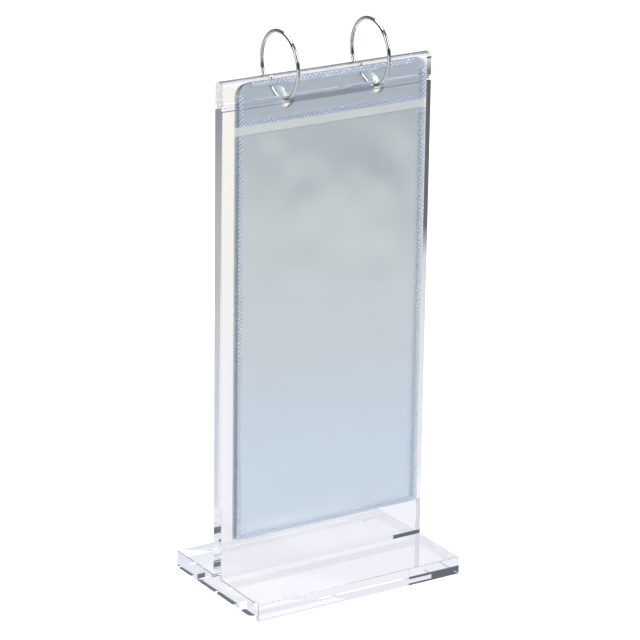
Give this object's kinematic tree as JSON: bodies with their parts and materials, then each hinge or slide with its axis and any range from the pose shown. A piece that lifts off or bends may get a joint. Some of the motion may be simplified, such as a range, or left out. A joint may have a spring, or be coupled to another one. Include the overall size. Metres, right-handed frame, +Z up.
{
  "type": "photo album stand",
  "caption": "Clear acrylic desktop stand with two chromed wire rings over its top edge, on which clear pocket pages for prints flip from front to back.",
  "frame": {"origin": "centre of the footprint, on the plane that the four feet rest on", "axes": "+X along the width to the viewer's right, -Y to the front where the pages hang, +Z up"},
  "size_m": [0.12, 0.08, 0.2897],
  "materials": {
    "acrylic": "clear cast acrylic sheet with polished edges",
    "chromed_wire": "bright chromed spring wire",
    "clear_bumper": "clear soft polyurethane bumper",
    "vinyl_film": "clear pale blue soft vinyl film with knurled welds"
  },
  "bodies": {
    "stand": {"base_plate": "acrylic", "upright_panel": "acrylic", "ring_wire": "chromed_wire", "foot_front_left": "clear_bumper", "foot_front_right": "clear_bumper", "foot_back_left": "clear_bumper", "foot_back_right": "clear_bumper"},
    "page_1": {"page_1_back_film": "vinyl_film", "page_1_header_strip": "vinyl_film", "page_1_pocket_film": "vinyl_film"},
    "page_2": {"page_2_back_film": "vinyl_film", "page_2_header_strip": "vinyl_film", "page_2_pocket_film": "vinyl_film"},
    "page_3": {"page_3_back_film": "vinyl_film", "page_3_header_strip": "vinyl_film", "page_3_pocket_film": "vinyl_film"},
    "page_4": {"page_4_back_film": "vinyl_film", "page_4_header_strip": "vinyl_film", "page_4_pocket_film": "vinyl_film"},
    "page_5": {"page_5_back_film": "vinyl_film", "page_5_header_strip": "vinyl_film", "page_5_pocket_film": "vinyl_film"},
    "page_6": {"page_6_back_film": "vinyl_film", "page_6_header_strip": "vinyl_film", "page_6_pocket_film": "vinyl_film"}
  },
  "joints": [
    {"name": "page_6_flip", "type": "hinge", "parent": "stand", "child": "page_6", "pos_m": [0, 0, 0.272], "axis": [-1, 0, 0], "range_deg": [0, 240]},
    {"name": "page_5_flip", "type": "hinge", "parent": "page_6", "child": "page_5", "pos_m": [0, 0, 0.272], "axis": [-1, 0, 0], "range_deg": [0, 240]},
    {"name": "page_4_flip", "type": "hinge", "parent": "page_5", "child": "page_4", "pos_m": [0, 0, 0.272], "axis": [-1, 0, 0], "range_deg": [0, 240]},
    {"name": "page_3_flip", "type": "hinge", "parent": "page_4", "child": "page_3", "pos_m": [0, 0, 0.272], "axis": [-1, 0, 0], "range_deg": [0, 240]},
    {"name": "page_2_flip", "type": "hinge", "parent": "page_3", "child": "page_2", "pos_m": [0, 0, 0.272], "axis": [-1, 0, 0], "range_deg": [0, 240]},
    {"name": "page_1_flip", "type": "hinge", "parent": "page_2", "child": "page_1", "pos_m": [0, 0, 0.272], "axis": [-1, 0, 0], "range_deg": [0, 240]}
  ]
}
